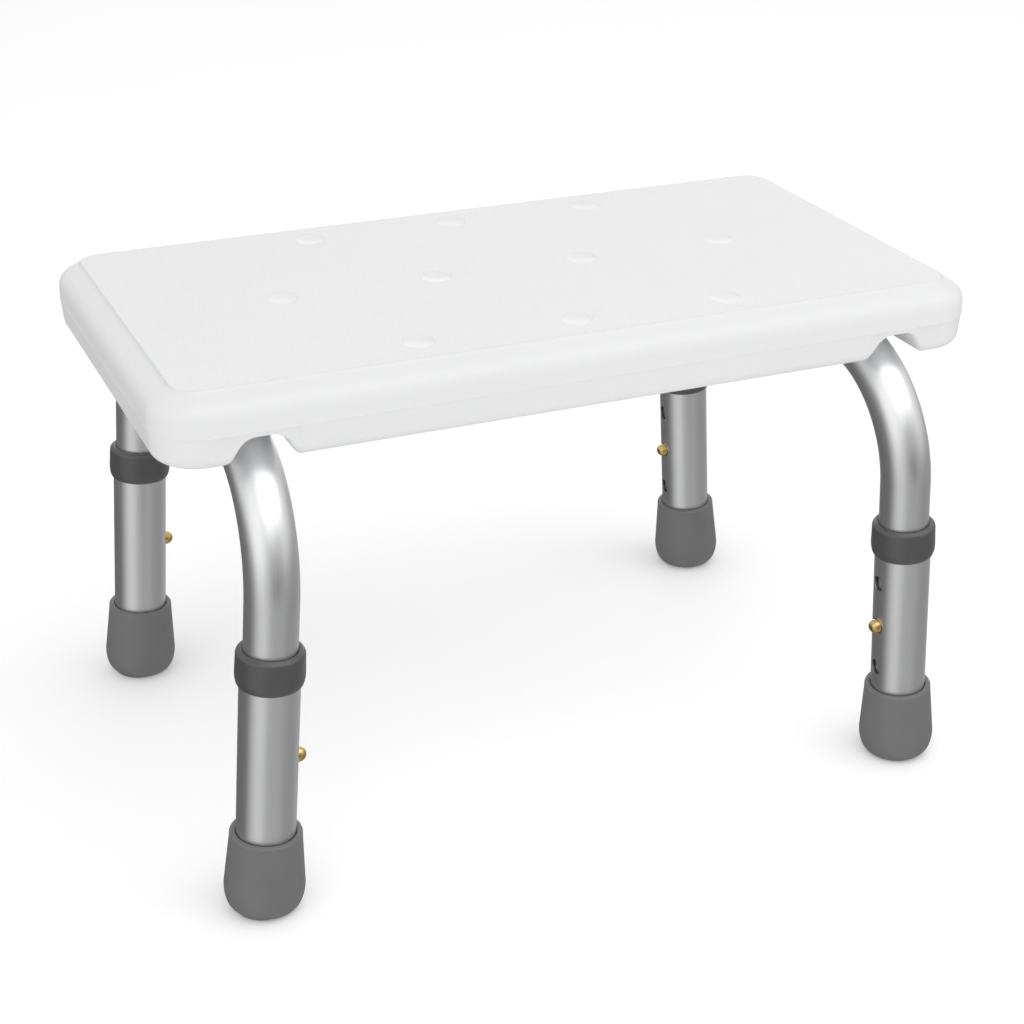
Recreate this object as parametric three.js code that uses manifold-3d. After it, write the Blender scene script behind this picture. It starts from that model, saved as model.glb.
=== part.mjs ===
// A low shower stool. A hollow blow-moulded seat rests on two bent aluminium frame tubes, and each
// of the four frame ends slides in a leg tube with a collar at its top and a rubber foot at its
// bottom. A sprung brass button in the frame end locks the leg tube at one of three heights.
// Millimetres, +Z up, origin on the floor under the middle of the seat, +X along the seat's length.
import * as THREE from 'three';
import { mergeVertices } from 'three/addons/utils/BufferGeometryUtils.js';
import Module from 'manifold-3d';

const wasm = await Module();
wasm.setup();

// Driving dimensions ------------------------------------------------------------------------------
const GAP = 0.3;                     // clearance kept between touching pieces

const SEAT_LENGTH = 422;
const SEAT_WIDTH = 220;
const SEAT_CORNER = 23.5;            // plan radius of the seat's corners
const SEAT_BOTTOM = 224.5;           // underside above the floor
const LOWER_ROUND = 6;               // rounding of the seat's bottom edge
const LOWER_DRAFT = 1;               // the side wall leans in this far down to that rounding
const PARTING_HEIGHT = 240.5;        // where the two halves of the mould met
const PARTING_STEP = 0.25;           // the lower half is this much smaller there
const PARTING_RISE = 0.2;
const RIM_START = 246.3;             // the top edge rounds over from here
const RIM_ROUND = 9.7;
const RIM_TURN = THREE.MathUtils.degToRad(61); // the rounding's arc, which a straight slope follows
const RIM_WIDTH = 10;                // from the seat's edge to the foot of the panel
const PANEL_STEP = 2;                // the panel's own edge, from its foot to its flat top
const PANEL_HEIGHT = 259.2;
const PANEL_SHOULDER = 0.4;          // the edge is this far below the flat top at half its width
const SEAT_WALL = 3;
const DIMPLE_SPACING = 80;
const DIMPLE_RADIUS = 8.5;
const DIMPLE_DEPTH = 1;

const FRAME_RADIUS = 12.7;           // 25.4 mm tube
const FRAME_WALL = 1.2;
const LEG_RADIUS = 14.3;             // 28.6 mm tube
const LEG_WALL = 1.3;
const BEND_RADIUS = 60;              // centre line of the frame's bends
const BAR_HEIGHT = 221.5;            // centre line of the frame's crossbar
const SPLAY = THREE.MathUtils.degToRad(4);
const FLOOR_X = 179;                 // leg axis at the floor
const LEG_Y = 121.5;
const HOLE_PITCH = 25.4;             // steps of the height adjustment
const BUTTON_HEIGHT = 80.7;          // all of these run along the leg axis from the floor
const FRAME_END = 50;
const LEG_BOTTOM = 8;
const LEG_TOP = 136;
const COLLAR_BOTTOM = 121.7;
const COLLAR_TOP = 139.5;
const FOOT_TOP = 42;
const HOLE_RADIUS = 4.1;
const BUTTON_RADIUS = 3.8;
const DOME_CENTRE = LEG_RADIUS + 0.5;
const ROUND_SIDES = 20;              // facets round every tube

const BAR_X = FLOOR_X - BAR_HEIGHT * Math.tan(SPLAY);
const GROOVE_RADIUS = FRAME_RADIUS + GAP;
const SCREW_Y = 45;
const SCREW_RADIUS = 3;
const BOSS_TOP = 252;

// Materials ---------------------------------------------------------------------------------------
const material = (color, roughness, metalness) =>
  new THREE.MeshStandardMaterial({ color, roughness, metalness });
const whitePlastic = material(0xf1f1f1, 0.45, 0);
const aluminium = material(0xb9babc, 0.35, 1);
const collarPlastic = material(0x4b4b4d, 0.5, 0);
const footRubber = material(0x6a6a6c, 0.75, 0);
const brass = material(0xc9a24a, 0.25, 1);
const springSteel = material(0x8d8f92, 0.35, 1);
const zincSteel = material(0xa9adb2, 0.4, 1);

// Solids ------------------------------------------------------------------------------------------
// A geometry with its shared corners merged and its slivers dropped, as a manifold solid.
function toSolid(geometry) {
  const bare = geometry.clone();
  bare.deleteAttribute('normal');
  bare.deleteAttribute('uv');
  const merged = mergeVertices(bare, 1e-4);
  const corners = merged.index.array;
  const kept = [];
  for (let i = 0; i < corners.length; i += 3) {
    const [a, b, c] = corners.slice(i, i + 3);
    if (a !== b && b !== c && c !== a) kept.push(a, b, c);
  }
  return new wasm.Manifold(new wasm.Mesh({
    numProp: 3,
    vertProperties: new Float32Array(merged.attributes.position.array),
    triVerts: new Uint32Array(kept),
  }));
}

function toGeometry(solid) {
  const mesh = solid.getMesh();
  const geometry = new THREE.BufferGeometry();
  geometry.setAttribute('position', new THREE.BufferAttribute(mesh.vertProperties, mesh.numProp));
  geometry.setIndex(new THREE.BufferAttribute(mesh.triVerts, 1));
  geometry.computeVertexNormals();
  return geometry;
}

// A profile of [radius, height] points turned round the Z axis, outer side first and upwards.
function turned(profile, sides = ROUND_SIDES) {
  const points = profile.map(([radius, height]) => new THREE.Vector2(radius, height));
  return new THREE.LatheGeometry(points, sides).rotateX(Math.PI / 2);
}

function ring(outer, inner, bottom, top, sides = ROUND_SIDES) {
  return turned([[inner, bottom], [outer, bottom], [outer, top], [inner, top], [inner, bottom]], sides);
}

function rod(radius, bottom, top, sides = ROUND_SIDES) {
  return turned([[0, bottom], [radius, bottom], [radius, top], [0, top]], sides);
}

// A rod that points along +X, at a height on the Z axis.
function crossRod(radius, start, end, height, sides = 16) {
  return rod(radius, start, end, sides).rotateY(Math.PI / 2).translate(0, 0, height);
}

function roundedRectangle(length, width, radius) {
  const x = length / 2 - radius;
  const y = width / 2 - radius;
  const shape = new THREE.Shape();
  shape.absarc(x, y, radius, 0, Math.PI / 2);
  shape.absarc(-x, y, radius, Math.PI / 2, Math.PI);
  shape.absarc(-x, -y, radius, Math.PI, 1.5 * Math.PI);
  shape.absarc(x, -y, radius, 1.5 * Math.PI, 2 * Math.PI);
  return shape;
}

// A closed form of the seat's outline at one level above another. Each level says how far its
// outline lies inside the seat's own, and its height.
function loft(levels) {
  const corners = [];
  const faces = [];
  let count = 0;
  for (const [inset, height] of levels) {
    const outline = roundedRectangle(SEAT_LENGTH - 2 * inset, SEAT_WIDTH - 2 * inset, SEAT_CORNER - inset);
    const points = outline.getPoints(3);
    count = points.length;
    for (const point of points) corners.push(point.x, point.y, height);
  }
  const last = levels.length - 1;
  for (let level = 0; level < last; level += 1) {
    for (let i = 0; i < count; i += 1) {
      const [a, b] = [level * count + i, level * count + ((i + 1) % count)];
      faces.push(a, b, b + count, a, b + count, a + count);
    }
  }
  const middle = levels.length * count;
  corners.push(0, 0, levels[0][1], 0, 0, levels[last][1]);
  for (let i = 0; i < count; i += 1) {
    const next = (i + 1) % count;
    faces.push(middle, next, i, middle + 1, last * count + i, last * count + next);
  }
  const geometry = new THREE.BufferGeometry();
  geometry.setAttribute('position', new THREE.Float32BufferAttribute(corners, 3));
  geometry.setIndex(faces);
  return geometry;
}

// An outline drawn in X and Z, pulled along Y between two places.
function alongY(shape, from, to, curveSegments = 6) {
  return new THREE.ExtrudeGeometry(shape, { depth: to - from, bevelEnabled: false, curveSegments })
    .rotateX(Math.PI / 2)
    .translate(0, to, 0);
}

// A route whose stations are given, so that its straight stretches take no steps of their own.
class Route extends THREE.Curve {
  constructor(stations) {
    super();
    this.stations = stations;
  }

  station(u) {
    return this.stations[Math.round(u * (this.stations.length - 1))];
  }

  getPointAt(u, target = new THREE.Vector3()) {
    return target.copy(this.station(u).point);
  }

  getTangentAt(u, target = new THREE.Vector3()) {
    return target.copy(this.station(u).tangent);
  }
}

// Seat --------------------------------------------------------------------------------------------
// Levels of the moulding's side, from its underside up, as [inset, height].
function seatLevels() {
  const levels = [];
  const lowerSteps = 3;
  for (let i = 0; i <= lowerSteps; i += 1) {
    const angle = (i / lowerSteps) * (Math.PI / 2);
    levels.push([
      LOWER_DRAFT + LOWER_ROUND * (1 - Math.sin(angle)),
      SEAT_BOTTOM + LOWER_ROUND * (1 - Math.cos(angle)),
    ]);
  }
  levels.push([PARTING_STEP, PARTING_HEIGHT], [0, PARTING_HEIGHT + PARTING_RISE]);
  const rimSteps = 4;
  for (let i = 0; i <= rimSteps; i += 1) {
    const angle = (i / rimSteps) * RIM_TURN;
    levels.push([RIM_ROUND * (1 - Math.cos(angle)), RIM_START + RIM_ROUND * Math.sin(angle)]);
  }
  const [slopeInset, slopeHeight] = levels.at(-1);
  const foot = slopeHeight + (RIM_WIDTH - slopeInset) / Math.tan(RIM_TURN);
  levels.push(
    [RIM_WIDTH, foot],
    [RIM_WIDTH + PANEL_STEP / 2, PANEL_HEIGHT - PANEL_SHOULDER],
    [RIM_WIDTH + PANEL_STEP, PANEL_HEIGHT],
  );
  return levels;
}

// The moulding's hollow follows its outer form, one wall inside it.
function hollowLevels() {
  return [
    [LOWER_ROUND + LOWER_DRAFT, SEAT_BOTTOM + SEAT_WALL],
    [LOWER_DRAFT + SEAT_WALL, SEAT_BOTTOM + LOWER_ROUND],
    [SEAT_WALL, PARTING_HEIGHT],
    [SEAT_WALL, RIM_START],
    [SEAT_WALL + 2, RIM_START + 4],
    [RIM_WIDTH + SEAT_WALL, PANEL_HEIGHT - SEAT_WALL],
  ];
}

// The groove that a crossbar lies in: round over the bar, straight down below it.
function barGroove(radius) {
  const shape = new THREE.Shape();
  shape.moveTo(-radius, BAR_HEIGHT - 2 * radius);
  shape.lineTo(radius, BAR_HEIGHT - 2 * radius);
  shape.lineTo(radius, BAR_HEIGHT);
  shape.absarc(0, BAR_HEIGHT, radius, 0, Math.PI);
  shape.lineTo(-radius, BAR_HEIGHT - 2 * radius);
  return alongY(shape, -SEAT_WIDTH, SEAT_WIDTH, 8);
}

// The bell-shaped notch where the groove leaves the seat's front or back wall.
const NOTCH_FOOT = 17.5;              // half its width at the bottom of the wall
const NOTCH_CROWN = 3.5;              // half the width of its flat crown
const NOTCH_RISE = 12.8;
const NOTCH_DEPTH = 32;               // how far it runs in from the wall
const NOTCH_SWEEP = 5;                // reach of the handles that curve each flank
const NOTCH_FLARE = 0.6;

function wallNotch(grow) {
  const foot = NOTCH_FOOT + grow;
  const crown = SEAT_BOTTOM + NOTCH_RISE + grow;
  const shape = new THREE.Shape();
  shape.moveTo(-foot, BAR_HEIGHT - 2 * FRAME_RADIUS);
  shape.lineTo(foot, BAR_HEIGHT - 2 * FRAME_RADIUS);
  shape.lineTo(foot, SEAT_BOTTOM);
  const handle = foot - NOTCH_SWEEP;
  const flare = SEAT_BOTTOM + NOTCH_FLARE;
  shape.bezierCurveTo(handle, flare, handle, crown, NOTCH_CROWN, crown);
  shape.lineTo(-NOTCH_CROWN, crown);
  shape.bezierCurveTo(-handle, crown, -handle, flare, -foot, SEAT_BOTTOM);
  shape.lineTo(-foot, BAR_HEIGHT - 2 * FRAME_RADIUS);
  const inner = SEAT_WIDTH / 2 - NOTCH_DEPTH - grow;
  return [[-SEAT_WIDTH, -inner], [inner, SEAT_WIDTH]].map(([from, to]) => alongY(shape, from, to));
}

// Ten dimples in rows of three, four and three. Under each one a cone of the lower wall is pressed
// up against the panel, which ties the two walls together.
const dimples = [];
for (const y of [-DIMPLE_SPACING, DIMPLE_SPACING]) {
  for (const step of [-1, 0, 1]) dimples.push([step * DIMPLE_SPACING, y]);
}
for (const step of [-1.5, -0.5, 0.5, 1.5]) dimples.push([step * DIMPLE_SPACING, 0]);

const CONE_MOUTH = 12;
const CONE_TIP = 5;
const CONE_TOP = PANEL_HEIGHT - DIMPLE_DEPTH - SEAT_WALL - 0.5;
const CUT_REACH = 5;                  // how far a cutting solid starts outside what it cuts

function tieCone(grow) {
  return turned([
    [0, SEAT_BOTTOM - CUT_REACH],
    [CONE_MOUTH + grow, SEAT_BOTTOM - CUT_REACH],
    [CONE_MOUTH + grow, SEAT_BOTTOM + grow],
    [CONE_TIP + grow, CONE_TOP + grow],
    [0, CONE_TOP + grow],
  ], 12);
}

function dimple() {
  const ball = (DIMPLE_RADIUS ** 2 + DIMPLE_DEPTH ** 2) / (2 * DIMPLE_DEPTH);
  const spread = Math.asin(DIMPLE_RADIUS / ball);
  const profile = [];
  for (let i = 0; i <= 3; i += 1) {
    const angle = (i / 3) * spread;
    profile.push([ball * Math.sin(angle), PANEL_HEIGHT - DIMPLE_DEPTH + ball * (1 - Math.cos(angle))]);
  }
  profile.push([DIMPLE_RADIUS, PANEL_HEIGHT + CUT_REACH], [0, PANEL_HEIGHT + CUT_REACH]);
  return turned(profile, 16);
}

const BOSS_RADIUS = 8.6;
const INSERT_RADIUS = 4.6;
const INSERT_BOTTOM = BAR_HEIGHT + GROOVE_RADIUS + 0.6;
const INSERT_TOP = BOSS_TOP - 2.5;
const AIR_HOLE_RADIUS = 4;
const AIR_HOLE_Y = 45;

function seatShell() {
  const cut = [];
  const keep = [];
  for (const side of [-1, 1]) {
    const x = side * BAR_X;
    cut.push(barGroove(GROOVE_RADIUS).translate(x, 0, 0));
    keep.push(barGroove(GROOVE_RADIUS + SEAT_WALL).translate(x, 0, 0));
    for (const notch of wallNotch(0)) cut.push(notch.translate(x, 0, 0));
    for (const notch of wallNotch(SEAT_WALL)) keep.push(notch.translate(x, 0, 0));
    for (const y of [-SCREW_Y, SCREW_Y]) {
      cut.push(rod(INSERT_RADIUS + GAP, SEAT_BOTTOM, INSERT_TOP + GAP, 12).translate(x, y, 0));
      keep.push(rod(BOSS_RADIUS, SEAT_BOTTOM, BOSS_TOP, 12).translate(x, y, 0));
    }
  }
  for (const [x, y] of dimples) {
    cut.push(tieCone(0).translate(x, y, 0), dimple().translate(x, y, 0));
    keep.push(tieCone(SEAT_WALL).translate(x, y, 0));
  }
  const airHole = rod(AIR_HOLE_RADIUS, SEAT_BOTTOM - CUT_REACH, SEAT_BOTTOM + 2 * SEAT_WALL, 16)
    .translate(0, AIR_HOLE_Y, 0);
  let hollow = toSolid(loft(hollowLevels()));
  for (const geometry of keep) hollow = hollow.subtract(toSolid(geometry));
  let shell = toSolid(loft(seatLevels())).subtract(hollow).subtract(toSolid(airHole));
  for (const geometry of cut) shell = shell.subtract(toSolid(geometry));
  return toGeometry(shell);
}

// Frame -------------------------------------------------------------------------------------------
// One end of the frame tube goes down to the front leg, along the splayed axis; the middle runs
// along Y under the seat. Drawn for the right side, with the crossbar's middle at the origin.
function frameStations() {
  const down = new THREE.Vector3(Math.sin(SPLAY), 0, -Math.cos(SPLAY));
  const stations = [];
  const drop = BAR_HEIGHT / Math.cos(SPLAY) - FRAME_END;
  for (const end of [-1, 1]) {
    const outward = new THREE.Vector3(0, end, 0);
    const half = [];
    const hub = outward.clone().multiplyScalar(LEG_Y - BEND_RADIUS).addScaledVector(down, BEND_RADIUS);
    const steps = 9;
    for (let i = 0; i <= steps; i += 1) {
      const angle = (i / steps) * (Math.PI / 2);
      const point = hub.clone()
        .addScaledVector(down, -BEND_RADIUS * Math.cos(angle))
        .addScaledVector(outward, BEND_RADIUS * Math.sin(angle));
      const heading = outward.clone().multiplyScalar(Math.cos(angle)).addScaledVector(down, Math.sin(angle));
      half.push({ point, tangent: heading });
    }
    half.push({
      point: outward.clone().multiplyScalar(LEG_Y).addScaledVector(down, drop),
      tangent: down.clone(),
    });
    if (end < 0) {
      half.reverse();
      for (const station of half) station.tangent.negate();
    }
    stations.push(...half);
  }
  return stations;
}

function frameTube() {
  const section = new THREE.Shape().absarc(0, 0, FRAME_RADIUS, 0, 2 * Math.PI);
  section.holes.push(new THREE.Path().absarc(0, 0, FRAME_RADIUS - FRAME_WALL, 0, 2 * Math.PI, true));
  const stations = frameStations();
  const tube = new THREE.ExtrudeGeometry(section, {
    steps: stations.length - 1,
    curveSegments: ROUND_SIDES / 2,
    extrudePath: new Route(stations),
  });
  let solid = toSolid(tube);
  for (const end of [-1, 1]) {
    const screwHole = rod(SCREW_RADIUS + GAP, -2 * FRAME_RADIUS, 2 * FRAME_RADIUS, 16)
      .translate(0, end * SCREW_Y, 0);
    const buttonHole = crossRod(HOLE_RADIUS, FRAME_RADIUS - CUT_REACH, FRAME_RADIUS + CUT_REACH, 0)
      .rotateZ(Math.PI)
      .translate(0, 0, BUTTON_HEIGHT - BAR_HEIGHT / Math.cos(SPLAY))
      .rotateY(-SPLAY)
      .translate(0, end * LEG_Y, 0);
    solid = solid.subtract(toSolid(screwHole)).subtract(toSolid(buttonHole));
  }
  return toGeometry(solid);
}

// Legs, drawn upright on the Z axis for the right side: their holes look towards -X.
function legTube() {
  let solid = toSolid(ring(LEG_RADIUS, LEG_RADIUS - LEG_WALL, LEG_BOTTOM, LEG_TOP));
  for (const step of [-1, 0, 1]) {
    const hole = crossRod(HOLE_RADIUS, LEG_RADIUS - CUT_REACH, LEG_RADIUS + CUT_REACH, 0)
      .rotateZ(Math.PI)
      .translate(0, 0, BUTTON_HEIGHT + step * HOLE_PITCH);
    solid = solid.subtract(toSolid(hole));
  }
  return toGeometry(solid);
}

function collar() {
  const outer = 16.4;
  const bore = LEG_RADIUS + GAP;
  const lip = FRAME_RADIUS + GAP;
  return turned([
    [bore, COLLAR_BOTTOM],
    [outer - 1.4, COLLAR_BOTTOM],
    [outer - 0.6, COLLAR_BOTTOM + 1.2],
    [outer, COLLAR_BOTTOM + 4],
    [outer - 0.3, COLLAR_TOP - 3],
    [outer - 1, COLLAR_TOP - 1],
    [outer - 2.2, COLLAR_TOP],
    [lip + 0.2, COLLAR_TOP],
    [lip, COLLAR_TOP - 0.4],
    [lip, LEG_TOP + GAP],
    [bore, LEG_TOP + GAP],
    [bore, COLLAR_BOTTOM],
  ]);
}

// The foot's underside is cut level with the floor, so that the splayed leg stands flat.
function rubberFoot() {
  const bore = LEG_RADIUS + GAP;
  const profile = [
    [0, -6], [13.4, -6], [14.4, 0.2], [16.8, 1.8], [18.6, 5], [19.5, 9], [19.65, 12.5], [17.5, FOOT_TOP - 2],
    [17.1, FOOT_TOP - 0.6], [16.4, FOOT_TOP], [bore + 0.3, FOOT_TOP], [bore, FOOT_TOP - 0.5],
    [bore, LEG_BOTTOM - 2.6], [0, LEG_BOTTOM - 2.6],
  ];
  const below = new THREE.BoxGeometry(100, 100, 50).translate(0, 0, -25).rotateY(SPLAY);
  return toGeometry(toSolid(turned(profile)).subtract(toSolid(below)));
}

function footWasher() {
  return turned([[0, LEG_BOTTOM - 2.3], [LEG_RADIUS, LEG_BOTTOM - 2.3],
    [LEG_RADIUS, LEG_BOTTOM - GAP], [0, LEG_BOTTOM - GAP]]);
}

const SPRING_ARM = 8.6;               // outer face of each arm of the clip from the tube's axis
const SPRING_THICKNESS = 0.8;
const SPRING_WIDTH = 7;
const SPRING_BELOW = 9;
const SPRING_ABOVE = 20;

// The clip is a strip bent over like a hairpin, its two arms against the inside of the frame tube.
function buttonClip() {
  const outer = SPRING_ARM;
  const inner = SPRING_ARM - SPRING_THICKNESS;
  const shape = new THREE.Shape();
  shape.moveTo(outer, -SPRING_BELOW);
  shape.lineTo(outer, SPRING_ABOVE);
  shape.absarc(0, SPRING_ABOVE, outer, 0, Math.PI);
  shape.lineTo(-outer, -SPRING_BELOW);
  shape.lineTo(-inner, -SPRING_BELOW);
  shape.lineTo(-inner, SPRING_ABOVE);
  shape.absarc(0, SPRING_ABOVE, inner, Math.PI, 0, true);
  shape.lineTo(inner, -SPRING_BELOW);
  shape.lineTo(outer, -SPRING_BELOW);
  return alongY(shape, -SPRING_WIDTH / 2, SPRING_WIDTH / 2).translate(0, 0, BUTTON_HEIGHT);
}

// The button's flange lies on the clip, inside the frame tube, and its dome stands out of the leg.
function snapButton() {
  const seat = SPRING_ARM + GAP;
  const flange = BUTTON_RADIUS + 1;
  const profile = [[0, seat], [flange, seat], [flange, seat + 1], [BUTTON_RADIUS, seat + 1]];
  const steps = 4;
  for (let i = 0; i <= steps; i += 1) {
    const angle = (i / steps) * (Math.PI / 2);
    const radius = i === steps ? 0 : BUTTON_RADIUS * Math.cos(angle);
    profile.push([radius, DOME_CENTRE + BUTTON_RADIUS * Math.sin(angle)]);
  }
  return turned(profile, 16).rotateY(-Math.PI / 2).translate(0, 0, BUTTON_HEIGHT);
}

// Fasteners, drawn round the Z axis at their height in the stool ----------------------------------
const WASHER_TOP = BAR_HEIGHT - FRAME_RADIUS - GAP;
const WASHER_THICKNESS = 1.4;

function seatWasher() {
  return ring(7.5, SCREW_RADIUS + GAP, WASHER_TOP - WASHER_THICKNESS, WASHER_TOP, 16);
}

function seatScrew() {
  const head = WASHER_TOP - WASHER_THICKNESS - GAP;
  return turned([
    [0, head - 3], [1.5, head - 3.6], [4, head - 3.3], [5.4, head - 2.2], [5.8, head], [SCREW_RADIUS, head],
    [SCREW_RADIUS, INSERT_TOP - 3], [SCREW_RADIUS - 0.8, INSERT_TOP - 2], [0, INSERT_TOP - 2],
  ], 12);
}

function seatInsert() {
  const bore = SCREW_RADIUS + GAP;
  return turned([
    [0, INSERT_TOP - 1.2], [bore, INSERT_TOP - 1.2], [bore, INSERT_BOTTOM], [INSERT_RADIUS, INSERT_BOTTOM],
    [INSERT_RADIUS, INSERT_TOP], [0, INSERT_TOP],
  ], 12);
}

// Assembly ----------------------------------------------------------------------------------------
function place(parent, name, geometry, surface, position = [0, 0, 0]) {
  const mesh = new THREE.Mesh(geometry, surface);
  mesh.name = name;
  mesh.position.set(...position);
  parent.add(mesh);
}

const stool = new THREE.Group();
place(stool, 'seat_shell', seatShell(), whitePlastic);

// Each side is drawn as the right one and turned half a turn about Z for the left.
for (const side of ['right', 'left']) {
  const half = new THREE.Group();
  half.rotation.z = side === 'right' ? 0 : Math.PI;
  stool.add(half);
  place(half, `${side}_frame_tube`, frameTube(), aluminium, [BAR_X, 0, BAR_HEIGHT]);
  for (const end of [-1, 1]) {
    const name = `${(end < 0) === (side === 'right') ? 'front' : 'rear'}_${side}`;
    const screwPlace = [BAR_X, end * SCREW_Y, 0];
    place(half, `${name}_seat_screw`, seatScrew(), zincSteel, screwPlace);
    place(half, `${name}_seat_washer`, seatWasher(), zincSteel, screwPlace);
    place(half, `${name}_seat_insert`, seatInsert(), brass, screwPlace);
    const leg = new THREE.Group();
    leg.position.set(FLOOR_X, end * LEG_Y, 0);
    leg.rotation.y = -SPLAY;
    half.add(leg);
    place(leg, `${name}_leg_tube`, legTube(), aluminium);
    place(leg, `${name}_collar`, collar(), collarPlastic);
    place(leg, `${name}_foot`, rubberFoot(), footRubber);
    place(leg, `${name}_foot_washer`, footWasher(), zincSteel);
    place(leg, `${name}_button_clip`, buttonClip(), springSteel);
    place(leg, `${name}_button`, snapButton(), brass);
  }
}

export default stool;
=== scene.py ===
# %% [markdown]
# This file builds the looks of a low shower stool in Blender. The stool has a white moulded seat, two
# bent aluminium frame tubes under it, and four leg tubes that slide on the frame's ends. The packed
# model gives the place of every part, so the fine pieces made here are drawn at its sizes and each one
# takes the place of a plain part.

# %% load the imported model
import math

import bmesh
import bpy
from mathutils import Matrix, Vector


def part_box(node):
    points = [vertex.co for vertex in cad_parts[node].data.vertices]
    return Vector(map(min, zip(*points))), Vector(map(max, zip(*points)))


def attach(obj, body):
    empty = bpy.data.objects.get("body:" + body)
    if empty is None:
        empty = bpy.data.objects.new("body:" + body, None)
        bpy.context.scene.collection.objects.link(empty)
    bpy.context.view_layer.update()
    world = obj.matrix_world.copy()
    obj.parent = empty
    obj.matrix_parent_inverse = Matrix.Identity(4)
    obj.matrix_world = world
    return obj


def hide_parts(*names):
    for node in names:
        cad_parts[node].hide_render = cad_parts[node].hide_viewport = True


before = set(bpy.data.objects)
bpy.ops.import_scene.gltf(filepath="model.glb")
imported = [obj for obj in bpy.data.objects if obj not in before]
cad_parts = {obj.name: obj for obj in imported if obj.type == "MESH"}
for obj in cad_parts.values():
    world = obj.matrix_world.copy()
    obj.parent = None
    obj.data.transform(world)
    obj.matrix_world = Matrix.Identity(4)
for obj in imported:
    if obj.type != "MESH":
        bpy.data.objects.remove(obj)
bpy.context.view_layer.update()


# %% [markdown]
# A maker draws in millimetres, but Blender's pieces are in metres. Every piece here is drawn in
# millimetres and scaled once, when it is finished, so the numbers below read like a drawing.

# %% sizes of the seat and the frame
MM = 0.001

SEAT_LENGTH = 422
SEAT_WIDTH = 220
SEAT_CORNER = 23.5
SEAT_BOTTOM = 224.5
PARTING_HEIGHT = 240.5
PANEL_HEIGHT = 259.2
DIMPLE_SPACING = 80

FRAME_RADIUS = 12.7
FRAME_WALL = 1.2
LEG_RADIUS = 14.3
LEG_WALL = 1.3
BEND_RADIUS = 60
BAR_HEIGHT = 221.5
SPLAY = math.radians(4)
FLOOR_X = 179
LEG_Y = 121.5
BAR_X = FLOOR_X - BAR_HEIGHT * math.tan(SPLAY)
SCREW_Y = 45
HOLE_PITCH = 25.4
HOLE_RADIUS = 4.1
BUTTON_HEIGHT = 80.7
FRAME_END = 50
BUTTON_RADIUS = 3.8

seat_low, seat_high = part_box("seat_shell")
print("seat box in mm:", [round(c / MM, 1) for c in (*seat_low, *seat_high)])


# %% [markdown]
# Each leg is drawn upright on the Z axis and then leaned inward and moved to its corner. A 4 by 4
# matrix holds that move. The left half of the stool is the right half turned half a turn, so its
# matrix has that turn in front.

# %% the four corners
def corner_place(side, end):
    """The move from a leg drawn upright at the origin to one corner of the stool."""
    lean = Matrix.Translation((FLOOR_X, end * LEG_Y, 0)) @ Matrix.Rotation(-SPLAY, 4, "Y")
    return lean if side == "right" else Matrix.Rotation(math.pi, 4, "Z") @ lean


CORNERS = {
    "front_right": corner_place("right", -1),
    "rear_right": corner_place("right", 1),
    "front_left": corner_place("left", 1),
    "rear_left": corner_place("left", -1),
}
for corner, place in CORNERS.items():
    print(corner, "leg stands at", [round(c, 1) for c in place.translation])


# %% [markdown]
# The camera comes first, so that every piece can be judged from it. A long lens from a little way off
# keeps the stool's edges nearly parallel. to_track_quat aims the camera's -Z axis at the target, and a
# small turn about Z after it tilts the frame.

# %% camera
TILT = 0.0095
target = Vector((2.64, 0, 120.24)) * MM
camera_data = bpy.data.cameras.new("camera")
camera_data.lens = 70.11
camera_data.sensor_width = 36
camera = bpy.data.objects.new("camera", camera_data)
bpy.context.scene.collection.objects.link(camera)
camera_at = Vector((-384.36, -882.54, 592.06)) * MM
aim = (target - camera_at).to_track_quat("-Z", "Y").to_matrix().to_4x4()
camera.matrix_world = Matrix.Translation(camera_at) @ aim @ Matrix.Rotation(TILT, 4, "Z")
bpy.context.scene.camera = camera
print("camera distance in mm:", round((target - camera_at).length / MM))


# %% [markdown]
# Shader nodes can be wired by hand, but a material soon becomes a page of links. Two small classes keep
# it readable. Value wraps a number socket and turns +, - and * into Math nodes, so a sum is written as
# a sum. Wiring adds any other node to a tree, and Finish is a Wiring for one material.

# %% shader helpers
class Value:
    """A number that varies over a surface. Sums written with it become Math nodes."""

    def __init__(self, wiring, socket):
        self.wiring = wiring
        self.socket = socket

    def maths(self, operation, *numbers, clamp=False):
        inputs = dict(enumerate(numbers))
        node = self.wiring.node("ShaderNodeMath", {"operation": operation, "use_clamp": clamp}, inputs)
        return Value(self.wiring, node.outputs[0])

    def __add__(self, other):
        return self.maths("ADD", self, other)

    def __radd__(self, other):
        return self.maths("ADD", other, self)

    def __sub__(self, other):
        return self.maths("SUBTRACT", self, other)

    def __rsub__(self, other):
        return self.maths("SUBTRACT", other, self)

    def __mul__(self, other):
        return self.maths("MULTIPLY", self, other)

    def __rmul__(self, other):
        return self.maths("MULTIPLY", other, self)

    def clamped(self):
        return self.maths("ADD", self, 0, clamp=True)

    def step(self, start, end):
        """0 below start, 1 above end, and a smooth rise between them."""
        settings = {"interpolation_type": "SMOOTHSTEP"}
        inputs = {"Value": self, "From Min": start, "From Max": end}
        node = self.wiring.node("ShaderNodeMapRange", settings, inputs)
        return Value(self.wiring, node.outputs["Result"])


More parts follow.
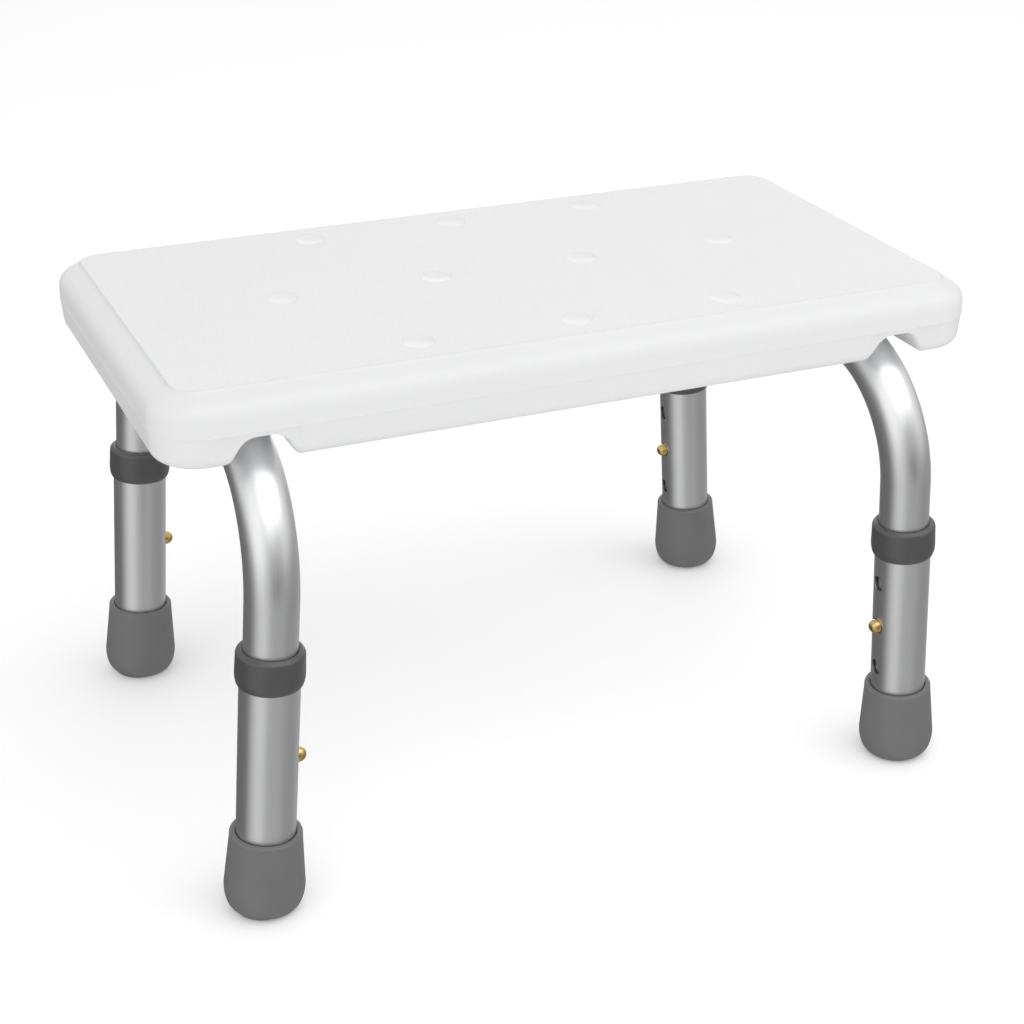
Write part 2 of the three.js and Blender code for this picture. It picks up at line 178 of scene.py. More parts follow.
class Wiring:
    """A node tree and the one method that adds any node to it."""

    def __init__(self, tree):
        self.tree = tree

    def feed(self, node, inputs):
        for name, value in inputs.items():
            socket = node.inputs[name]
            value = value.socket if isinstance(value, Value) else value
            if isinstance(value, bpy.types.NodeSocket):
                self.tree.links.new(value, socket)
            else:
                socket.default_value = value

    def node(self, kind, settings=None, inputs=None):
        node = self.tree.nodes.new(kind)
        for name, value in (settings or {}).items():
            setattr(node, name, value)
        self.feed(node, inputs or {})
        return node


class Finish(Wiring):
    """One material. Constants go on its shader's own sockets."""

    def __init__(self, name, constants):
        self.material = bpy.data.materials.new(name)
        self.material.use_nodes = True
        super().__init__(self.material.node_tree)
        self.shader = self.tree.nodes["Principled BSDF"]
        self.feed(self.shader, constants)

    def place(self):
        """Where a point lies on the stool, in metres."""
        return self.node("ShaderNodeTexCoord").outputs["Object"]

    def drawn(self):
        """Where a point lay on its straight tube, before it was bent or leaned."""
        return self.node("ShaderNodeAttribute", {"attribute_name": "drawn"}).outputs["Vector"]

    def depth(self):
        """How far a point of a tube lies under its outer surface, in millimetres."""
        node = self.node("ShaderNodeAttribute", {"attribute_name": "depth"})
        return Value(self, node.outputs["Fac"])

    def height(self):
        """How far above the floor a point lies, in metres."""
        split = self.node("ShaderNodeSeparateXYZ", None, {"Vector": self.place()})
        return Value(self, split.outputs["Z"])

    def stretched(self, vector, scale):
        settings = {"operation": "MULTIPLY"}
        return self.node("ShaderNodeVectorMath", settings, {0: vector, 1: scale}).outputs["Vector"]

    def noise(self, vector, scale, detail=2.0, roughness=0.5):
        inputs = {"Vector": vector, "Scale": scale, "Detail": detail, "Roughness": roughness}
        return Value(self, self.node("ShaderNodeTexNoise", None, inputs).outputs["Fac"])

    def mix(self, share, first, second):
        """A colour part way from the first to the second."""
        node = self.node("ShaderNodeMix", {"data_type": "RGBA"}, {0: share, 6: first, 7: second})
        return node.outputs[2]

    def bump(self, height, depth):
        """Raises the surface by up to depth metres where height is 1."""
        node = self.node("ShaderNodeBump", None, {"Height": height, "Distance": depth, "Strength": 1})
        self.feed(self.shader, {"Normal": node.outputs["Normal"]})


def grey(level):
    return (level, level, level, 1)


print("shader helpers are ready")


# %% [markdown]
# A studio floor is a wide sheet of pale board with a faint light of its own, which keeps it even. It
# lies a hair under the feet, where it catches their soft shadows.

# %% floor
def from_bmesh(name, bm):
    """Puts a bmesh into a new object in the scene."""
    mesh = bpy.data.meshes.new(name)
    bm.to_mesh(mesh)
    bm.free()
    made = bpy.data.objects.new(name, mesh)
    bpy.context.scene.collection.objects.link(made)
    return made


FLOOR_RADIUS = 30
FLOOR_GAP = 0.0003
floor_bm = bmesh.new()
bmesh.ops.create_circle(floor_bm, cap_ends=True, segments=96, radius=FLOOR_RADIUS)
bmesh.ops.translate(floor_bm, verts=floor_bm.verts, vec=(0, 0, -FLOOR_GAP))
floor = from_bmesh("floor", floor_bm)
lit = {"Emission Color": grey(1.0), "Emission Strength": 0.16}
board = Finish("pale_board", {"Roughness": 0.8, "Specular IOR Level": 0.2, **lit})
board_tone = board.noise(board.place(), 3.0)
board.feed(board.shader, {"Base Color": board.mix(board_tone, grey(0.95), grey(0.97))})
floor.data.materials.append(board.material)
print("floor is", floor.dimensions.x, "m wide")


# %% [markdown]
# Soft light comes from one large sheet of light, overhead and a little forward. White plastic needs
# little more than that. Satin tubes are harder, because they show what stands around them, and in an
# even room they turn flat. So the surroundings are a light tent, drawn as soft patches of direction.
# Below, it is brighter in front on the left and darker at both sides. Above, it is even, but for a
# brighter patch on the left, a darker one in front and a bright far wall. The floor is hidden from
# reflections, so that the tubes see the tent right down to their feet.

# %% lights and surroundings
def light_sheet(name, watts, width, height, at, towards):
    data = bpy.data.lights.new(name, "AREA")
    data.shape = "RECTANGLE"
    data.size = width
    data.size_y = height
    data.energy = watts
    lamp = bpy.data.objects.new(name, data)
    bpy.context.scene.collection.objects.link(lamp)
    turn = (Vector(towards) - Vector(at)).to_track_quat("-Z", "Y").to_matrix().to_4x4()
    lamp.matrix_world = Matrix.Translation(at) @ turn


light_sheet("overhead_light", 15.5, 3.1, 1.8, (0.4, -0.9, 1.75), (0, 0, 0.2))

world = bpy.data.worlds.new("studio")
world.use_nodes = True
bpy.context.scene.world = world
tent = Wiring(world.node_tree)
outlook = tent.node("ShaderNodeTexCoord").outputs["Generated"]


def patch(direction, start, end):
    """1 round a direction of the tent and 0 away from it, between two cosines of the angle."""
    inputs = {0: outlook, 1: Vector(direction).normalized()}
    nearness = tent.node("ShaderNodeVectorMath", {"operation": "DOT_PRODUCT"}, inputs).outputs["Value"]
    return Value(tent, nearness).step(start, end)


upward = patch((0, 0, 1), -0.12, 0.2)
upper_left = patch((-0.85, -0.38, 0.40), 0.80, 0.98)
front_gap = patch((0.1, -1, 0.25), 0.78, 0.97)
far_wall = patch((0.38, 0.85, 0.05), 0.86, 0.97)
front_left = patch((-0.80, -0.43, -0.42), 0.78, 0.98)
left_side = patch((-0.66, 0.63, -0.42), 0.35, 0.85)
right_side = patch((0.86, -0.29, -0.42), 0.70, 0.97)
low_tone = 0.43 + 0.28 * front_left - 0.30 * left_side - 0.14 * right_side
tone = low_tone + upward * (0.75 - low_tone) + 0.40 * upper_left - 0.32 * front_gap + 0.9 * far_wall
strength = tone.maths("MAXIMUM", tone, 0.1)
tent.feed(world.node_tree.nodes["Background"], {"Color": grey(1.0), "Strength": strength})
floor.visible_glossy = False
bpy.context.scene.view_settings.view_transform = "Standard"


# %% [markdown]
# The seat is blow moulded in white plastic, a soft satin white that is never quite even. Its flat top
# is cast from a stippled mould so that wet skin doesn't slide, and its rim, sides and dimples are
# smooth. The stipple is a bump that fades in just below the level of the top.

# %% white plastic
white_plastic = Finish("white_plastic", {"IOR": 1.5, "Specular IOR Level": 0.45})
cloud = white_plastic.noise(white_plastic.place(), 14.0, 3.0)
white_plastic.feed(white_plastic.shader, {
    "Base Color": white_plastic.mix(cloud, (0.790, 0.792, 0.794, 1), (0.815, 0.817, 0.819, 1)),
})
on_panel = white_plastic.height().step(0.2585, 0.2590)
stipple = white_plastic.noise(white_plastic.place(), 750.0, 2.0, 0.6)
fine_skin = white_plastic.noise(white_plastic.place(), 2600.0, 1.0)
gloss = 0.30 + cloud * 0.06 + on_panel * (0.14 + 0.16 * stipple)
white_plastic.feed(white_plastic.shader, {"Roughness": gloss})
white_plastic.bump(on_panel * stipple + 0.05 * fine_skin, 0.00035)
print("white plastic has", len(white_plastic.tree.nodes), "nodes")


# %% [markdown]
# Drawn and anodised aluminium is a satin grey metal with faint lines along the tube, left by the die.
# Noise that is stretched along the tube gives those lines. It reads the place that each point had on
# the straight tube, so that the lines follow the bends. Under the outer surface, in the holes and the
# bore, the colour is painted dark grey: painted shade that stands for the shade in there.

# %% satin aluminium
aluminium = Finish("satin_aluminium", {"Metallic": 1.0})
die_lines = aluminium.noise(aluminium.stretched(aluminium.drawn(), (1, 1, 0.015)), 1800.0, 3.0, 0.6)
haze = aluminium.noise(aluminium.stretched(aluminium.drawn(), (1, 1, 0.3)), 60.0, 3.0)
satin = aluminium.mix(haze * 0.5 + die_lines * 0.5, (0.78, 0.785, 0.79, 1), (0.90, 0.903, 0.91, 1))
# Below the outer surface the base colour turns dark grey: painted shade in the holes and the bore.
aluminium.feed(aluminium.shader, {
    "Base Color": aluminium.mix(aluminium.depth().step(0.02, 0.3), satin, grey(0.12)),
    "Roughness": 0.24 + 0.16 * die_lines + 0.06 * haze,
})
aluminium.bump(die_lines, 0.00003)
print("aluminium has", len(aluminium.tree.nodes), "nodes")


# %% [markdown]
# The collars are hard dark grey plastic, and the feet are a softer, lighter grey rubber. Both come out
# of a mould with a faint even skin. Rubber also scuffs and gathers a little pale dust near the floor.

# %% grey plastic and rubber
collar_plastic = Finish("dark_grey_plastic", {"IOR": 1.5, "Specular IOR Level": 0.85})
collar_cloud = collar_plastic.noise(collar_plastic.place(), 90.0, 3.0)
collar_skin = collar_plastic.noise(collar_plastic.place(), 2200.0, 1.0)
collar_plastic.feed(collar_plastic.shader, {
    "Base Color": collar_plastic.mix(collar_cloud, grey(0.056), grey(0.066)),
    "Roughness": 0.32 + 0.10 * collar_skin,
})
collar_plastic.bump(collar_skin, 0.00003)

rubber = Finish("grey_rubber", {"IOR": 1.5, "Specular IOR Level": 0.7})
rubber_cloud = rubber.noise(rubber.place(), 70.0, 4.0, 0.6)
rubber_skin = rubber.noise(rubber.place(), 1900.0, 2.0)
low_dust = 1 - rubber.height().step(0.0, 0.012)
rubber_tone = (rubber_cloud + 0.25 * low_dust).clamped()
rubber.feed(rubber.shader, {
    "Base Color": rubber.mix(rubber_tone, grey(0.140), grey(0.164)),
    "Roughness": 0.46 + 0.14 * rubber_skin,
})
rubber.bump(rubber_skin, 0.00004)
print("plastic and rubber are ready")


# %% [markdown]
# The small metal pieces are polished brass for the buttons and the threaded inserts, bright zinc plate
# on the screws and washers, and bare spring steel for the clips inside the tubes. Each one is a metal
# whose gloss changes a little over its surface, because that is what the eye reads as metal.

# %% small metals
def metal(name, dark, light, smooth, rough, scale):
    made = Finish(name, {"Metallic": 1.0})
    wear = made.noise(made.place(), scale, 4.0, 0.6)
    made.feed(made.shader, {
        "Base Color": made.mix(wear, dark, light),
        "Roughness": smooth + (rough - smooth) * wear,
    })
    made.bump(wear, 0.00002)
    return made


brass = metal("polished_brass", (0.62, 0.42, 0.13, 1), (0.82, 0.60, 0.24, 1), 0.08, 0.24, 500.0)
zinc = metal("bright_zinc", (0.58, 0.60, 0.62, 1), (0.70, 0.71, 0.72, 1), 0.24, 0.42, 350.0)
spring_steel = metal("spring_steel", (0.34, 0.34, 0.36, 1), (0.48, 0.48, 0.50, 1), 0.22, 0.40, 300.0)
print("metals:", brass.material.name, zinc.material.name, spring_steel.material.name)


# %% [markdown]
# Most pieces here are turned, as on a lathe: a profile is drawn as a line of points, spin sweeps it
# once round, and the ends on the axis are closed. Others are a flat outline that extrude pulls along.
# Holes are cut with the Boolean modifier, and its result is kept as the mesh.

# %% shaping helpers
def chain(bm, points):
    """A line of points joined by edges, drawn in X and Z."""
    corners = [bm.verts.new((x, 0, z)) for x, z in points]
    for first, second in zip(corners, corners[1:]):
        bm.edges.new((first, second))
    return corners


def lathe(points, steps=96, closed=False):
    """A profile of (radius, height) points spun round the Z axis."""
    bm = bmesh.new()
    corners = chain(bm, points)
    if closed:
        bm.edges.new((corners[-1], corners[0]))
    bmesh.ops.spin(bm, geom=bm.verts[:] + bm.edges[:], cent=(0, 0, 0), axis=(0, 0, 1), angle=2 * math.pi,
                   steps=steps, use_merge=True)
    bmesh.ops.remove_doubles(bm, verts=bm.verts, dist=0.0005)
    bmesh.ops.recalc_face_normals(bm, faces=bm.faces)
    return bm


def pulled(bm, face, vec):
    """Extrudes a face of the bmesh along a vector."""
    made = bmesh.ops.extrude_face_region(bm, geom=[face])["geom"]
    bmesh.ops.translate(bm, verts=[v for v in made if isinstance(v, bmesh.types.BMVert)], vec=vec)
    bmesh.ops.recalc_face_normals(bm, faces=bm.faces)
    return bm


def prism(points, length):
    """A flat outline in X and Z, pulled along Y and centred on it."""
    bm = bmesh.new()
    outline = bm.faces.new([bm.verts.new((x, -length / 2, z)) for x, z in points])
    return pulled(bm, outline, (0, length, 0))


def arc(centre, radius, start, end, steps):
    """Points along an arc, with its angles in degrees."""
    spread = [math.radians(start + (end - start) * i / steps) for i in range(steps + 1)]
    return [(centre[0] + radius * math.cos(a), centre[1] + radius * math.sin(a)) for a in spread]


def moved(bm, place):
    bmesh.ops.transform(bm, matrix=place, verts=bm.verts)
    return bm


def joined(parts):
    """Several bmeshes in one."""
    whole = bmesh.new()
    for part in parts:
        mesh = bpy.data.meshes.new("part")
        part.to_mesh(mesh)
        part.free()
        whole.from_mesh(mesh)
        bpy.data.meshes.remove(mesh)
    return whole


def carved(bm, cutters):
    """The bmesh with the cutters' shapes cut out of it."""
    body = from_bmesh("body", bm)
    tool = from_bmesh("tool", joined(cutters))
    cut = body.modifiers.new("cut", "BOOLEAN")
    cut.operation = "DIFFERENCE"
    cut.solver = "EXACT"
    cut.object = tool
    result = body.evaluated_get(bpy.context.evaluated_depsgraph_get()).to_mesh()
    made = bmesh.new()
    made.from_mesh(result)
    bpy.data.objects.remove(body)
    bpy.data.objects.remove(tool)
    return made


print("shaping helpers are ready")


# %% [markdown]
# Every piece is finished the same way. It is moved to its corner and scaled to metres, its smooth faces
# meet sharply only at real edges, and it is told which body it rides on and which plain part it stands
# for. A tube first keeps two attributes for its material: where each point was drawn on the straight
# tube, and how deep it lies in the wall.

# %% finishing a piece
def remembered(bm, radius):
    """Keeps each point's place on a straight tube, in metres, and its depth in the wall, in mm."""
    drawn = bm.verts.layers.float_vector.new("drawn")
    depth = bm.verts.layers.float.new("depth")
    for vert in bm.verts:
        vert[drawn] = vert.co * MM
        vert[depth] = max(0, radius - math.hypot(vert.co.x, vert.co.y))
    return bm


def finished(node, bm, finish, body, place=Matrix.Identity(4), sharp=35):
    """Turns a bmesh drawn in millimetres into the piece that stands for a CAD node."""
    bmesh.ops.transform(bm, matrix=Matrix.Scale(MM, 4) @ place, verts=bm.verts)
    for face in bm.faces:
        face.smooth = True
    piece = from_bmesh(node + "_fine", bm)
    piece.data.set_sharp_from_angle(angle=math.radians(sharp))
    piece.data.materials.append(finish.material)
    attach(piece, body)
    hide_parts(node)
    return piece


print("finishing helper is ready")


# %% [markdown]
# The seat could be carved from a block, but its sides are really one soft profile that runs round a
# rounded rectangle. So it starts as a flat plate at the parting line, where the mould's halves met.
# Bevelling the plate's four corner points rounds its plan. Then the top face is inset again and again:
# each inset takes a step inward and a step up, and together they draw the profile. The bottom face is
# treated the same way, going down.

# %% seat profile
FLASH = 0.12
PARTING_EDGE = 0.5
UPPER_INSET = 0.15
LOWER_INSET = 0.22
RIM_START = 246.3
RIM_ROUND = 9.6
RIM_TURN = 61
RIM_WIDTH = 10
LOWER_DRAFT = 1
LOWER_ROUND = 6
FLAT_INSET = 20

rim = arc((UPPER_INSET + RIM_ROUND, RIM_START), RIM_ROUND, 180, 180 - RIM_TURN, 14)
slope_inset, slope_height = rim[-1]
panel_foot = slope_height + (RIM_WIDTH - slope_inset) / math.tan(math.radians(RIM_TURN))
upper_profile = [(0, PARTING_HEIGHT + FLASH), (0.08, PARTING_HEIGHT + 0.22)]
upper_profile += [(UPPER_INSET, PARTING_HEIGHT + PARTING_EDGE)] + rim
upper_profile += [(8.6, panel_foot - 0.78), (9.4, panel_foot - 0.40), (RIM_WIDTH, panel_foot - 0.12)]
upper_profile += [(10.4, panel_foot + 0.16), (10.75, panel_foot + 0.5), (11.1, panel_foot + 0.9)]
upper_profile += [(11.5, 258.80), (11.9, 259.03), (12.4, 259.15), (13, PANEL_HEIGHT)]

lower_profile = [(0, PARTING_HEIGHT - FLASH), (0.1, PARTING_HEIGHT - 0.22)]
lower_profile += [(LOWER_INSET, PARTING_HEIGHT - PARTING_EDGE)]
lower_profile += arc((LOWER_DRAFT + LOWER_ROUND, SEAT_BOTTOM + LOWER_ROUND), LOWER_ROUND, 180, 270, 10)
lower_profile += [(FLAT_INSET, SEAT_BOTTOM), (FLAT_INSET + 2, SEAT_BOTTOM)]


def walk_profile(bm, face, profile):
    """Insets a face from each (inset, height) point of a profile to the next."""
    for (inset, height), (next_inset, next_height) in zip(profile, profile[1:]):
        bmesh.ops.inset_region(bm, faces=[face], thickness=next_inset - inset,
                               depth=abs(next_height - height), use_even_offset=True)


seat_bm = bmesh.new()
bmesh.ops.create_grid(seat_bm, x_segments=1, y_segments=1, size=0.5)
bmesh.ops.scale(seat_bm, vec=(SEAT_LENGTH, SEAT_WIDTH, 1), verts=seat_bm.verts)
bmesh.ops.translate(seat_bm, vec=(0, 0, PARTING_HEIGHT - FLASH), verts=seat_bm.verts)
bmesh.ops.bevel(seat_bm, geom=seat_bm.verts[:], affect="VERTICES", offset=SEAT_CORNER, segments=20,
                profile=0.5, material=-1)
seat_bm.faces.ensure_lookup_table()
plate = seat_bm.faces[0]
pulled(seat_bm, plate, (0, 0, 2 * FLASH))


def face_height(face):
    return face.calc_center_median().z


walk_profile(seat_bm, max(seat_bm.faces, key=face_height), upper_profile)
underside = min(seat_bm.faces, key=face_height)
walk_profile(seat_bm, underside, lower_profile)
heights = [v.co.z for v in seat_bm.verts]
print("seat runs from", round(min(heights), 2), "to", round(max(heights), 2), "mm")


# %% [markdown]
# Where a frame tube leaves the seat, the front and back walls rise over it in a bell-shaped notch. The
# wall's rounded lower edge follows that notch, so cutting it with a Boolean would leave a hard rim.
# Instead the lower wall is sliced into columns with bisect_plane, and each column is lifted by the
# bell's height there, while its inner end moves back to the notch's full depth. A Bezier curve gives
# the bell.

# %% notches
NOTCH_FOOT = 17.5
NOTCH_CROWN = 3.5
NOTCH_RISE = 12.8
NOTCH_DEPTH = 32
NOTCH_SWEEP = 5
NOTCH_FLARE = 0.6
NOTCH_THINNING = 0.6
TINY = 0.01


def bell_point(late):
    """A point of the bell as (distance from its middle, rise), from its foot at 0 to its crown at 1."""
    early = 1 - late
    handle = NOTCH_FOOT - NOTCH_SWEEP
    distance = early ** 3 * NOTCH_FOOT + 3 * early * late * handle + late ** 3 * NOTCH_CROWN
    rise = 3 * early ** 2 * late * NOTCH_FLARE + 3 * early * late ** 2 * NOTCH_RISE + late ** 3 * NOTCH_RISE
    return distance, rise


bell = [bell_point(i / 14) for i in range(15)]


def bell_rise(distance):
    """The notch's height at a distance from its middle."""
    if distance >= NOTCH_FOOT:
        return 0
    for (outer, low), (inner, high) in zip(bell, bell[1:]):
        if distance >= inner:
            return low + (high - low) * (outer - distance) / (outer - inner)
    return NOTCH_RISE


wall_top = PARTING_HEIGHT - PARTING_EDGE
full_height = wall_top - SEAT_BOTTOM
lower_faces = [f for f in seat_bm.faces if f is not underside and face_height(f) < wall_top + 0.1]
for middle in (-BAR_X, BAR_X):
    for column in [middle + side * distance for distance, rise in bell for side in (-1, 1)]:
        edges = {edge for face in lower_faces for edge in face.edges}
        verts = {vert for face in lower_faces for vert in face.verts}
        split = bmesh.ops.bisect_plane(seat_bm, geom=lower_faces + list(edges) + list(verts),
                                       plane_co=(column, 0, 0), plane_no=(1, 0, 0))
        lower_faces = [part for part in split["geom"] if isinstance(part, bmesh.types.BMFace)]
for vert in {vert for face in lower_faces for vert in face.verts}:
    distance = min(abs(vert.co.x - BAR_X), abs(vert.co.x + BAR_X))
    inset = SEAT_WIDTH / 2 - abs(vert.co.y)
    rise = bell_rise(distance)
    if distance > NOTCH_FOOT + TINY or inset > FLAT_INSET + 3 or vert.co.z > wall_top - TINY:
        continue
    if inset > FLAT_INSET - 1:
        vert.co.y -= math.copysign(NOTCH_DEPTH - FLAT_INSET, vert.co.y)
    if inset > FLAT_INSET + 1:
        continue
    vert.co.z = wall_top - (wall_top - vert.co.z) * (full_height - rise) / full_height
    if inset < LOWER_DRAFT + LOWER_ROUND + 1:
        thinned = LOWER_INSET + (inset - LOWER_INSET) * (1 - NOTCH_THINNING * rise / NOTCH_RISE)
        vert.co.y = math.copysign(SEAT_WIDTH / 2 - thinned, vert.co.y)
print("seat has", len(seat_bm.faces), "faces after its notches")


# %% [markdown]
# The Boolean modifier cuts the rest. From below come the two round grooves that the crossbars lie in,
# the ten cones that are pushed up to tie the two walls together, the air hole of the moulding, and the
# four holes with the threaded inserts. From above come the ten shallow dimples. Each cutter widens
# softly where it leaves the plastic, so the edge it leaves is already rounded.

# %% grooves, cones and dimples
BELOW = 218
ABOVE = 263
DIP = 0.03


def bar_groove():
    half, flare = FRAME_RADIUS + 0.3, 1.2
    lift = SEAT_BOTTOM + flare - DIP - BAR_HEIGHT
    mouth = math.sqrt(half ** 2 - lift ** 2) + flare
    turn = math.degrees(math.asin(lift / half))
    points = [(mouth, BELOW)]
    points += arc((mouth, BAR_HEIGHT + lift), flare, 270, 180, 5)[:-1]
    points += arc((0, BAR_HEIGHT), half, turn, 180 - turn, 44)
    points += arc((-mouth, BAR_HEIGHT + lift), flare, 0, -90, 5)[1:]
    points += [(-mouth, BELOW)]
    return prism(points, SEAT_WIDTH - 2 * NOTCH_DEPTH + 2)


def tie_cone():
    mouth, tip, top, flare = 13.7, 4.3, 254.7, 1.5
    points = [(0, BELOW), (mouth, BELOW)]
    points += arc((mouth, SEAT_BOTTOM + flare - DIP), flare, 270, 180, 5)
    points += arc((tip, top - flare), flare, 0, 90, 5)
    return lathe(points + [(0, top)], 40)


def dimple():
    reach, depth, lip, steps = 8.6, 1.5, 0.6, 12
    edge = reach + 0.25
    bowl = [(reach * i / steps, PANEL_HEIGHT - depth * (1 - (i / steps) ** 2)) for i in range(steps)]
    bowl += arc((edge, PANEL_HEIGHT + 0.05 - lip), lip, 110, 90, 3)
    return lathe(bowl + [(edge, ABOVE), (0, ABOVE)], 64)


def air_hole():
    radius, flare, end = 4, 0.6, 231
    points = [(0, BELOW), (radius + flare, BELOW), (radius + flare, SEAT_BOTTOM - DIP)]
    points += [(radius + 0.1, SEAT_BOTTOM + flare), (radius, end), (0, end)]
    return lathe(points, 32)


def insert_hole():
    radius, end = 4.9, 249.8
    return lathe([(0, BELOW), (radius, BELOW), (radius, end), (0, end)], 32)


def at(bm, x, y):
    return moved(bm, Matrix.Translation((x, y, 0)))


AIR_HOLE_Y = 45
dimple_places = [(step * DIMPLE_SPACING, row * DIMPLE_SPACING) for row in (-1, 1) for step in (-1, 0, 1)]
dimple_places += [(step * DIMPLE_SPACING, 0) for step in (-1.5, -0.5, 0.5, 1.5)]
cutters = [at(bar_groove(), x, 0) for x in (-BAR_X, BAR_X)]
for x, y in dimple_places:
    cutters += [at(tie_cone(), x, y), at(dimple(), x, y)]
cutters.append(at(air_hole(), 0, AIR_HOLE_Y))
seat_bm = carved(seat_bm, cutters)
seat_bm = carved(seat_bm, [at(insert_hole(), x, y) for x in (-BAR_X, BAR_X) for y in (-SCREW_Y, SCREW_Y)])
seat = finished("seat_shell", seat_bm, white_plastic, "root")
even = seat.modifiers.new("even_shading", "WEIGHTED_NORMAL")
even.keep_sharp = True
print("seat has", len(seat.data.polygons), "faces and", len(dimple_places), "dimples")


# %% [markdown]
# A frame tube is made as a tube bender makes it. A straight tube is drilled first, and then its two
# ends are bent down round a 60 mm radius. Drawn this way, the holes come out true and every point
# knows its place on the straight tube, which the die lines of the metal follow.

# %% frame tubes
SCREW_HOLE_RADIUS = 3.3
HALF_BAR = LEG_Y - BEND_RADIUS
BEND_LENGTH = BEND_RADIUS * math.pi / 2
LEG_RUN = BAR_HEIGHT / math.cos(SPLAY) - FRAME_END - BEND_RADIUS
HALF_TUBE = HALF_BAR + BEND_LENGTH + LEG_RUN
BUTTON_ALONG = HALF_TUBE - (BUTTON_HEIGHT - FRAME_END)
down = Vector((math.sin(SPLAY), 0, -math.cos(SPLAY)))
across = Vector((math.cos(SPLAY), 0, math.sin(SPLAY)))
ahead = Vector((0, 1, 0))


def straight_tube():
    """A hollow tube along Z with its rings close together where it will bend."""
    stops = [HALF_BAR * i / 6 for i in range(6)]
    stops += [HALF_BAR + BEND_LENGTH * i / 30 for i in range(30)]
    stops += [HALF_BAR + BEND_LENGTH + LEG_RUN * i / 8 for i in range(9)]
    stops = [-stop for stop in reversed(stops[1:])] + stops
    outer = [(FRAME_RADIUS, stop) for stop in stops]
    inner = [(FRAME_RADIUS - FRAME_WALL, stop) for stop in reversed(stops)]
    return lathe(outer + inner, 56, closed=True)


def drill(radius, start, length, turn, along):
    """A round cutter across the tube, at a turn about its axis and a place along it."""
    bit = lathe([(0, start), (radius, start), (radius, start + length), (0, start + length)], 32)
    aim = Matrix.Rotation(turn, 4, "Z") @ Matrix.Rotation(math.pi / 2, 4, "Y")
    return moved(bit, Matrix.Translation((0, 0, along)) @ aim)


def bent(point):
    """Where a point of the straight tube goes when the tube is bent. Its X stays across the bend."""
    along = abs(point.z)
    end = math.copysign(1, point.z)
    if along <= HALF_BAR:
        return across * point.x + ahead * point.z - down * point.y
    hub = ahead * end * HALF_BAR + down * BEND_RADIUS
    if along <= HALF_BAR + BEND_LENGTH:
        turn = (along - HALF_BAR) / BEND_RADIUS
        outward = ahead * end * math.sin(turn) - down * math.cos(turn)
        return hub + across * point.x + outward * (BEND_RADIUS + point.y)
    run = along - HALF_BAR - BEND_LENGTH
    return hub + across * point.x + ahead * end * (BEND_RADIUS + point.y) + down * run


for side in ("right", "left"):
    drills = [drill(HOLE_RADIUS, 8, 8, math.pi, end * BUTTON_ALONG) for end in (-1, 1)]
    drills += [drill(SCREW_HOLE_RADIUS, -20, 40, math.pi / 2 - SPLAY, end * SCREW_Y) for end in (-1, 1)]
    tube = remembered(carved(straight_tube(), drills), FRAME_RADIUS)
    for vert in tube.verts:
        vert.co = bent(vert.co)
    half_turn = Matrix.Rotation(math.pi if side == "left" else 0, 4, "Z")
    place = half_turn @ Matrix.Translation((BAR_X, 0, BAR_HEIGHT))
    piece = finished(side + "_frame_tube", tube, aluminium, "root", place)
    print(piece.name, "has", len(piece.data.polygons), "faces")


# %% [markdown]
# A leg tube is a straight tube with three holes for the button. Its cut edges are slightly broken, as
# a deburring tool leaves them.

# %% leg tubes
LEG_BOTTOM = 8
LEG_TOP = 136


def leg_tube():
    low, high, bore, broken = LEG_BOTTOM, LEG_TOP, LEG_RADIUS - LEG_WALL, 0.25
    stops = [low + (high - low) * i / 12 for i in range(1, 12)]
    outer = [(LEG_RADIUS - broken, low), (LEG_RADIUS, low + broken)] + [(LEG_RADIUS, stop) for stop in stops]
    outer += [(LEG_RADIUS, high - broken), (LEG_RADIUS - broken, high)]
    inner = [(bore, high)] + [(bore, stop) for stop in reversed(stops)] + [(bore, low)]
    holes = [drill(HOLE_RADIUS, 10, 8, math.pi, BUTTON_HEIGHT + step * HOLE_PITCH) for step in (-1, 0, 1)]
    return remembered(carved(lathe(outer + inner, 64, closed=True), holes), LEG_RADIUS)


for corner, place in CORNERS.items():
    piece = finished(corner + "_leg_tube", leg_tube(), aluminium, corner + "_leg", place)
    print(piece.name, "has", len(piece.data.polygons), "faces")


# %% [markdown]
# A collar is a plastic ring pressed over the top of each leg tube, with a lip that closes round the
# frame tube. Its top is rounded over the whole of its wall and its bottom tapers in, all in one turned
# profile.

# %% collars
PRESS_GAP = 0.3


def collar():
    bore = LEG_RADIUS + PRESS_GAP
    lip = FRAME_RADIUS + 0.15
    points = [(bore, 121.7), (15.0, 121.7), (15.3, 121.9), (15.65, 122.5), (15.95, 123.5), (16.2, 124.8)]
    points += [(16.35, 126.2), (16.38, 127.6), (16.1, 136.4)]
    points += arc((13.9, 136.9), 2.2, 6, 66, 6) + arc((14.1, 138.3), 1.1, 66, 100, 3)
    points += [(lip + 0.5, 139.3), (lip + 0.15, 139.1), (lip, 138.7), (lip, 136.3), (bore, 136.3)]
    return lathe(points, 80, closed=True)


for corner, place in CORNERS.items():
    finished(corner + "_collar", collar(), collar_plastic, corner + "_leg", place, 50)
print("collars:", len(CORNERS))


# %% [markdown]
# A foot is a thick rubber cup. It is turned a little too long and then cut level with the floor, so
# that it stands flat although the leg leans.

# %% feet
FOOT_FLOOR = LEG_BOTTOM - 2.6


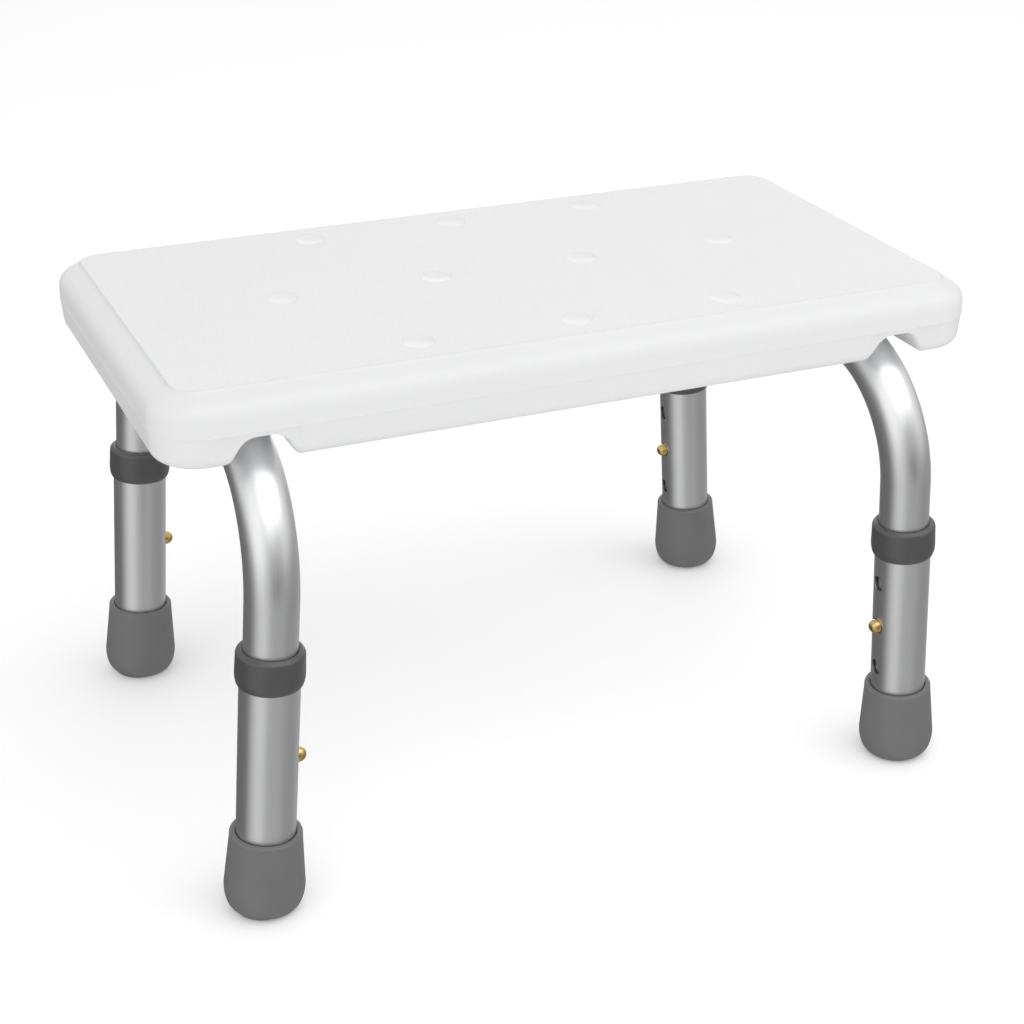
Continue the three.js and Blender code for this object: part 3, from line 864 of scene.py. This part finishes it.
def foot():
    bore = LEG_RADIUS + PRESS_GAP
    points = [(0, -6), (13.4, -6), (14.2, 0.0), (15.0, 0.6), (16.0, 1.3), (17.0, 2.3), (17.9, 3.7)]
    points += [(18.6, 5.5), (19.1, 7.4), (19.25, 8.2), (19.5, 10.2), (19.6, 12.5), (17.45, 39.2)]
    points += arc((16.1, 40.55), 1.35, 0, 90, 7) + arc((15.15, 41.35), 0.55, 90, 165, 4)
    points += [(bore, 40.4), (bore, FOOT_FLOOR), (0, FOOT_FLOOR)]
    return lathe(points, 80)


def cut_level(bm, place):
    """Moves a foot to its corner and cuts it off at the floor."""
    moved(bm, place)
    everything = bm.verts[:] + bm.edges[:] + bm.faces[:]
    cut = bmesh.ops.bisect_plane(bm, geom=everything, plane_co=(0, 0, 0), plane_no=(0, 0, 1),
                                 clear_inner=True)
    rim = [part for part in cut["geom_cut"] if isinstance(part, bmesh.types.BMEdge)]
    bmesh.ops.holes_fill(bm, edges=rim)
    bmesh.ops.recalc_face_normals(bm, faces=bm.faces)
    return bm


for corner, place in CORNERS.items():
    level_foot = cut_level(foot(), place)
    piece = finished(corner + "_foot", level_foot, rubber, corner + "_leg", sharp=50)
    print(piece.name, "lowest point in mm:", round(min(v.co.z for v in piece.data.vertices) / MM, 3))


# %% [markdown]
# A button is a brass pin with a round head. Its flange stays inside the frame tube, on the spring clip,
# and its head stands out through both tubes.

# %% buttons
def button():
    points = [(0, 8.9), (4.6, 8.9), (4.8, 9.1), (4.8, 9.7), (4.6, 9.9), (BUTTON_RADIUS, 9.9)]
    points += arc((0, LEG_RADIUS + 0.5), BUTTON_RADIUS, 0, 90, 14)
    pin = lathe(points, 40)
    return moved(pin, Matrix.Translation((0, 0, BUTTON_HEIGHT)) @ Matrix.Rotation(-math.pi / 2, 4, "Y"))


for corner, place in CORNERS.items():
    finished(corner + "_button", button(), brass, corner + "_button_pin", place)
print("buttons:", len(CORNERS))


# %% [markdown]
# The parts that are small or hidden keep their plain shape, because their meshes stay as they were
# packed. Each still gets its real finish.

# %% parts that are kept
kept_finishes = {"button_clip": spring_steel, "foot_washer": zinc, "seat_insert": brass, "seat_screw": zinc,
                 "seat_washer": zinc}
for node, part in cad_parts.items():
    for ending, finish in kept_finishes.items():
        if node.endswith(ending):
            part.data.materials.clear()
            part.data.materials.append(finish.material)
print("kept parts:", len([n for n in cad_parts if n.endswith(tuple(kept_finishes))]))
